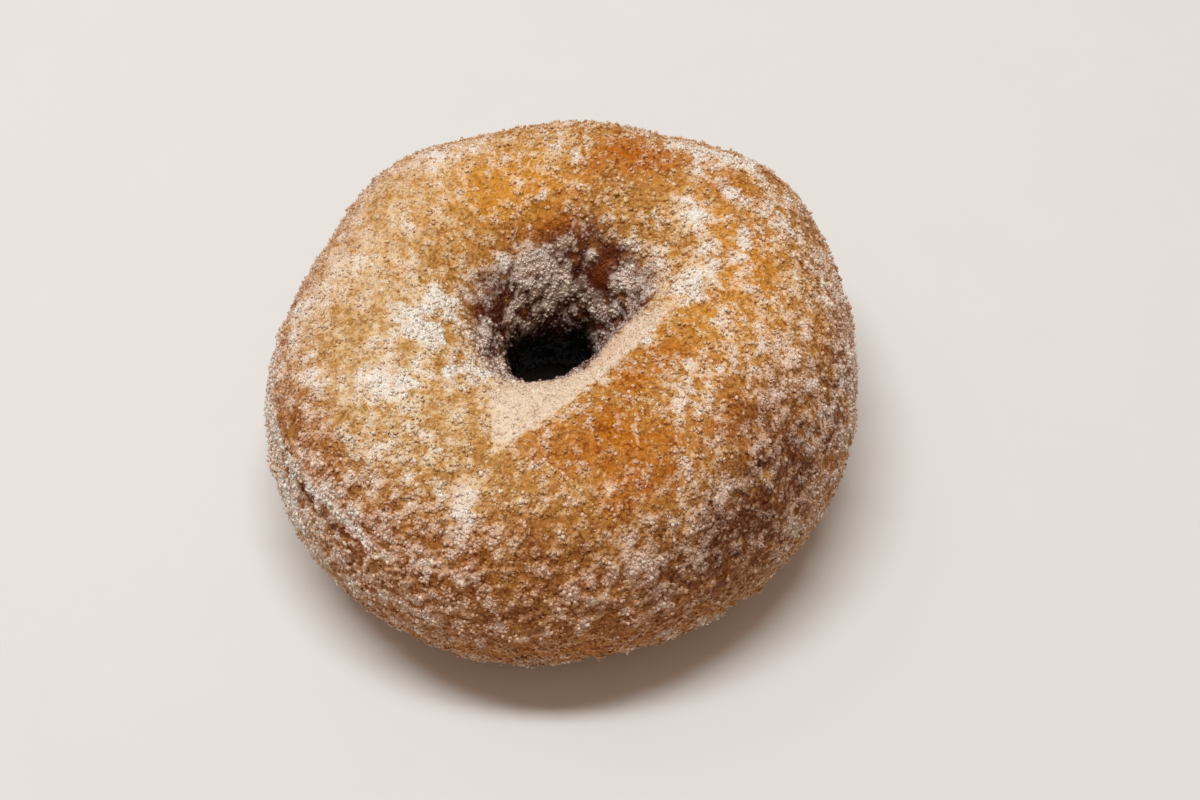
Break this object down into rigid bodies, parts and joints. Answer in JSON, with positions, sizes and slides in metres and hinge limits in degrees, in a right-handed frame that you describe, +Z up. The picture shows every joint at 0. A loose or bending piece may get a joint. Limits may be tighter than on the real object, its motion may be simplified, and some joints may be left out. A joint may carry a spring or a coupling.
{
  "type": "sugared ring doughnut",
  "caption": "Plump fried cake ring with a small leaning hole, a sugar-coated crust and a flat underside to rest on. It is food to pick up, serve or put on show.",
  "frame": {"origin": "On the surface it rests on, under the middle of its outer box", "axes": "+Z up through the hole, +X to the right and -Y towards the viewer of the picture"},
  "size_m": [0.0894, 0.0882, 0.0386],
  "materials": {
    "crust": "matt fried crust rolled in granulated sugar"
  },
  "bodies": {
    "root": {"doughnut": "crust"}
  },
  "joints": []
}
